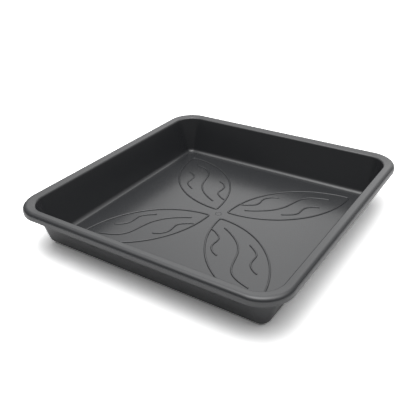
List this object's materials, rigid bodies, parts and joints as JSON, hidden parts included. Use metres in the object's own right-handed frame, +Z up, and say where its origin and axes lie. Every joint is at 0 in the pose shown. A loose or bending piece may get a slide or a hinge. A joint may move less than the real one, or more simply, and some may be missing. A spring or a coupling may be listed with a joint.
{
  "type": "square plant saucer",
  "caption": "Shallow square tray that catches water under a plant pot, with sloping sides, a rolled hollow rim and a raised leaf rosette on its slightly crowned floor.",
  "frame": {"origin": "on the ground, under the middle of the saucer", "axes": "+Z up, with the saucer's sides facing +X, -X, +Y and -Y"},
  "size_m": [0.4, 0.4, 0.063],
  "materials": {
    "dark_plastic": "smooth satin moulded plastic, dark grey to black"
  },
  "bodies": {
    "root": {"saucer": "dark_plastic"}
  },
  "joints": []
}
